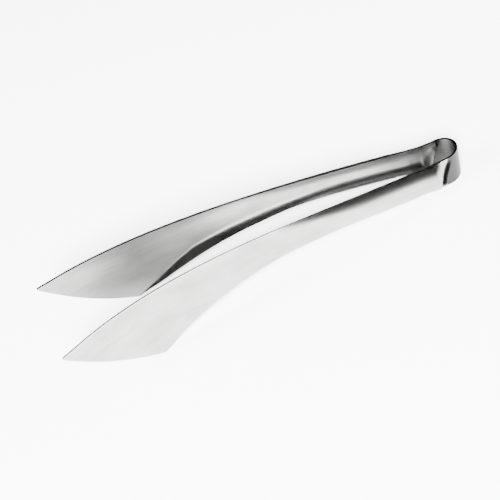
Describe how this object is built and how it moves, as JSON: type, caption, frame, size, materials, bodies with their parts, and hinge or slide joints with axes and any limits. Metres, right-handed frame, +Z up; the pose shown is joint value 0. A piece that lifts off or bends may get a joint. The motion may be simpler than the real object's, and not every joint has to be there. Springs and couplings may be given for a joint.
{
  "type": "serving tongs",
  "caption": "Sprung serving tongs folded from one steel strip: two knife-like blades, channel handles and a spring loop that closes under a squeeze.",
  "frame": {"origin": "centre of the outline seen from above, on the surface the tongs lie on", "axes": "+X along the tongs from the blade tips to the loop, +Y across the gap towards the rear arm, +Z up, across the width of the strip"},
  "size_m": [0.2601, 0.0662, 0.0443],
  "materials": {
    "steel": "satin, brushed along the length of the strip"
  },
  "bodies": {
    "spring_bow": {"spring_crown": "steel"},
    "front_arm": {"front_spring_leaf": "steel", "front_handle": "steel", "front_blade": "steel"},
    "rear_arm": {"rear_spring_leaf": "steel", "rear_handle": "steel", "rear_blade": "steel"}
  },
  "joints": [
    {"name": "front_flex", "type": "hinge", "parent": "spring_bow", "child": "front_arm", "pos_m": [0.12366, -0.00622, 0], "axis": [-0.1219, 0, -0.9925], "range_deg": [0, 6.9], "stiffness_Nm_per_rad": 4},
    {"name": "rear_flex", "type": "hinge", "parent": "spring_bow", "child": "rear_arm", "pos_m": [0.12366, 0.00622, 0], "axis": [0.1219, 0, 0.9925], "range_deg": [0, 6.9], "stiffness_Nm_per_rad": 4}
  ],
  "couplings": [
    {"joint": "rear_flex", "follows": "front_flex", "ratio": 1}
  ]
}
